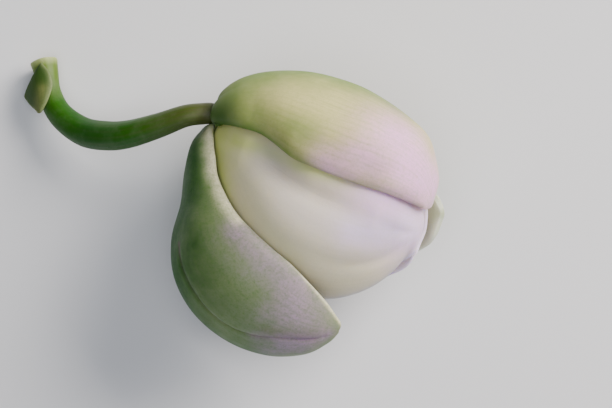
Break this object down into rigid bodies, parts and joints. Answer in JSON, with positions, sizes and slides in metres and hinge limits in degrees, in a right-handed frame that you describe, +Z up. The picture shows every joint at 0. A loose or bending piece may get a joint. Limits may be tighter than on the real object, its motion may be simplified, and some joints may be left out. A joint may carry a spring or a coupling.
{
  "type": "orchid flower",
  "caption": "Opening moth-orchid flower on its own stalk, laid down: cupped petals hugged by sepals, with a lip and column inside.",
  "frame": {"origin": "middle of the small flat spot on the closed lateral sepal, on which the flower lies, straight below the flower's heart", "axes": "+Z up from the surface it lies on; +X from the stalk towards the petals' tips; +Y towards the dorsal sepal"},
  "size_m": [0.0584, 0.041, 0.0296],
  "materials": {
    "stalk": "satin",
    "bract": "matte",
    "dorsal_sepal": "satin",
    "open_sepal": "satin",
    "closed_sepal": "satin",
    "petal": "satin",
    "lip": "satin",
    "column": "satin",
    "anther_cap": "satin",
    "pollinia": "satin"
  },
  "bodies": {
    "root": {"pedicel_and_ovary": "stalk", "floral_bract": "bract", "dorsal_sepal": "dorsal_sepal", "lateral_sepal_open": "open_sepal", "lateral_sepal_closed": "closed_sepal", "petal_front": "petal", "petal_back": "petal", "labellum": "lip", "column": "column", "anther_cap": "anther_cap", "pollinia": "pollinia"}
  },
  "joints": []
}
